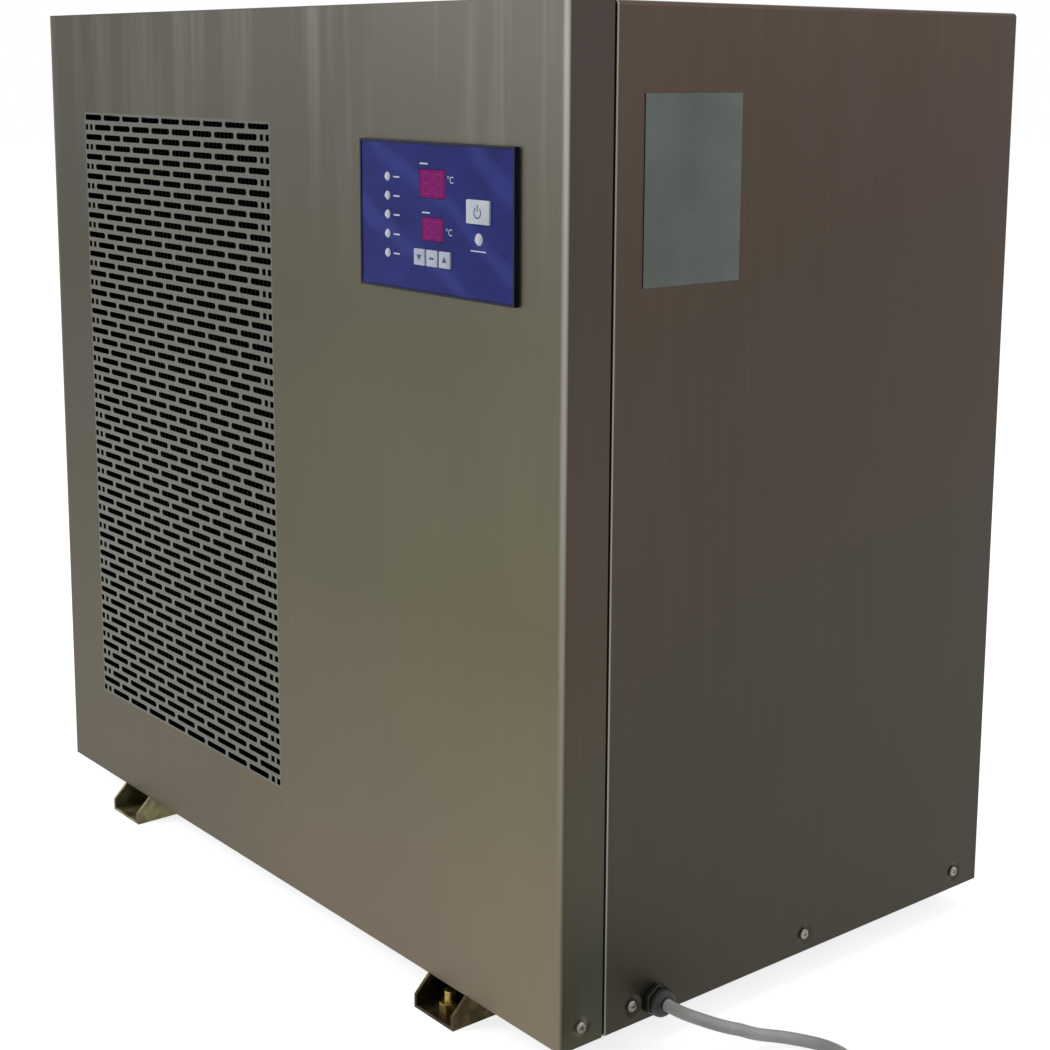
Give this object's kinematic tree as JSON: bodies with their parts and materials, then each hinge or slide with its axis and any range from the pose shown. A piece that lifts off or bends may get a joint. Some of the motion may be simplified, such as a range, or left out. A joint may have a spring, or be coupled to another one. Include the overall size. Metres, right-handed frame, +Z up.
{
  "type": "aquarium chiller",
  "caption": "Floor-standing aquarium chiller: stainless cabinet on foot rails, slotted air grille, control panel, fans and water unions behind, lead with plug.",
  "frame": {"origin": "centre of the four floor holes in the foot rails, on the floor", "axes": "+X to the right seen from the front, +Y to the back, +Z up"},
  "size_m": [0.8913, 0.4905, 0.697],
  "materials": {
    "stainless": "rolled sheet, dull and slightly streaked",
    "stainless_frame": "dull, in shadow",
    "galvanised": "dull zinc",
    "yellow_zinc": "yellow-passivated zinc, worn dark",
    "clean_yellow_zinc": "yellow-passivated zinc, bright",
    "zinc_screw": "bright zinc",
    "plate_foil": "satin, bare",
    "panel_black": "fine grain",
    "overlay_blue": "semi-gloss print",
    "display_magenta": "clear red filter, unlit",
    "key_grey": "satin",
    "lens_grey": "clear, unlit",
    "board_green": "solder mask",
    "brass_fitting": "machined",
    "fin_black": "black coated aluminium fin stock",
    "copper": "drawn tube",
    "black_plastic": "moulded",
    "black_paint": "gloss black enamel",
    "guard_paint": "powder coat",
    "black_rubber": "moulded",
    "barrel_white": "smooth",
    "barrel_cap": "smooth",
    "titanium": "drawn tube",
    "pipe_grey": "smooth",
    "device_grey": "moulded",
    "cream_plastic": "moulded",
    "can_aluminium": "drawn can",
    "lead_grey": "smooth sheath",
    "pin_nickel": "plated"
  },
  "bodies": {
    "cabinet": {"base_tray": "stainless_frame", "left_foot_rail": "yellow_zinc", "right_foot_rail": "yellow_zinc", "rail_studs": "clean_yellow_zinc", "rail_nuts": "clean_yellow_zinc", "front_frame": "stainless_frame", "front_cover": "stainless", "grille_panel": "stainless", "wrap_cover": "stainless", "rear_panel": "stainless", "cover_screws": "zinc_screw", "rear_screws": "zinc_screw", "rating_plate": "plate_foil", "control_bezel": "panel_black", "control_overlay": "overlay_blue", "panel_retainer": "galvanised", "control_board": "board_green", "board_standoffs": "brass_fitting", "key_switches": "black_plastic", "upper_display": "display_magenta", "lower_display": "display_magenta", "indicator_lenses": "lens_grey", "condenser_fins": "fin_black", "condenser_frame": "galvanised", "condenser_bends": "copper", "divider_panel": "galvanised", "fan_rings": "galvanised", "upper_fan_guard": "guard_paint", "lower_fan_guard": "guard_paint", "fan_motors": "black_paint", "compressor_shell": "black_paint", "compressor_mounts": "black_rubber", "compressor_bolts": "zinc_screw", "terminal_cover": "black_plastic", "accumulator": "black_paint", "filter_drier": "copper", "reversing_valve": "brass_fitting", "copper_pipes": "copper", "exchanger_shell": "barrel_white", "exchanger_cap": "barrel_cap", "titanium_coil": "titanium", "water_unions": "pipe_grey", "electrical_box": "galvanised", "contactor": "device_grey", "run_capacitor": "can_aluminium", "terminal_block": "cream_plastic", "cable_gland": "black_plastic", "mains_cord": "lead_grey", "cord_coil": "lead_grey", "cord_tie": "black_plastic", "plug_body": "black_rubber", "plug_pins": "pin_nickel"},
    "upper_fan": {"upper_fan_rotor": "black_plastic"},
    "lower_fan": {"lower_fan_rotor": "black_plastic"},
    "inlet_nut": {"inlet_union_nut": "black_plastic"},
    "outlet_nut": {"outlet_union_nut": "black_plastic"},
    "down_key": {"key_down": "key_grey"},
    "set_key": {"key_set": "key_grey"},
    "up_key": {"key_up": "key_grey"},
    "large_key": {"mode_key": "key_grey"}
  },
  "joints": [
    {"name": "upper_fan_spin", "type": "hinge", "parent": "cabinet", "child": "upper_fan", "pos_m": [-0.1375, 0.216, 0.502], "axis": [0, 1, 0], "continuous": true},
    {"name": "lower_fan_spin", "type": "hinge", "parent": "cabinet", "child": "lower_fan", "pos_m": [-0.1375, 0.216, 0.212], "axis": [0, 1, 0], "continuous": true},
    {"name": "inlet_nut_spin", "type": "hinge", "parent": "cabinet", "child": "inlet_nut", "pos_m": [0.2488, 0.235, 0.1035], "axis": [0, 1, 0], "continuous": true},
    {"name": "outlet_nut_spin", "type": "hinge", "parent": "cabinet", "child": "outlet_nut", "pos_m": [0.2488, 0.235, 0.3835], "axis": [0, 1, 0], "continuous": true},
    {"name": "key_down_press", "type": "slide", "parent": "cabinet", "child": "down_key", "axis": [0, 1, 0], "range_m": [0, 0.0005], "stiffness_N_per_m": 800, "springref_m": -0.0005},
    {"name": "key_set_press", "type": "slide", "parent": "cabinet", "child": "set_key", "axis": [0, 1, 0], "range_m": [0, 0.0005], "stiffness_N_per_m": 800, "springref_m": -0.0005},
    {"name": "key_up_press", "type": "slide", "parent": "cabinet", "child": "up_key", "axis": [0, 1, 0], "range_m": [0, 0.0005], "stiffness_N_per_m": 800, "springref_m": -0.0005},
    {"name": "mode_key_press", "type": "slide", "parent": "cabinet", "child": "large_key", "axis": [0, 1, 0], "range_m": [0, 0.0005], "stiffness_N_per_m": 800, "springref_m": -0.0005}
  ]
}
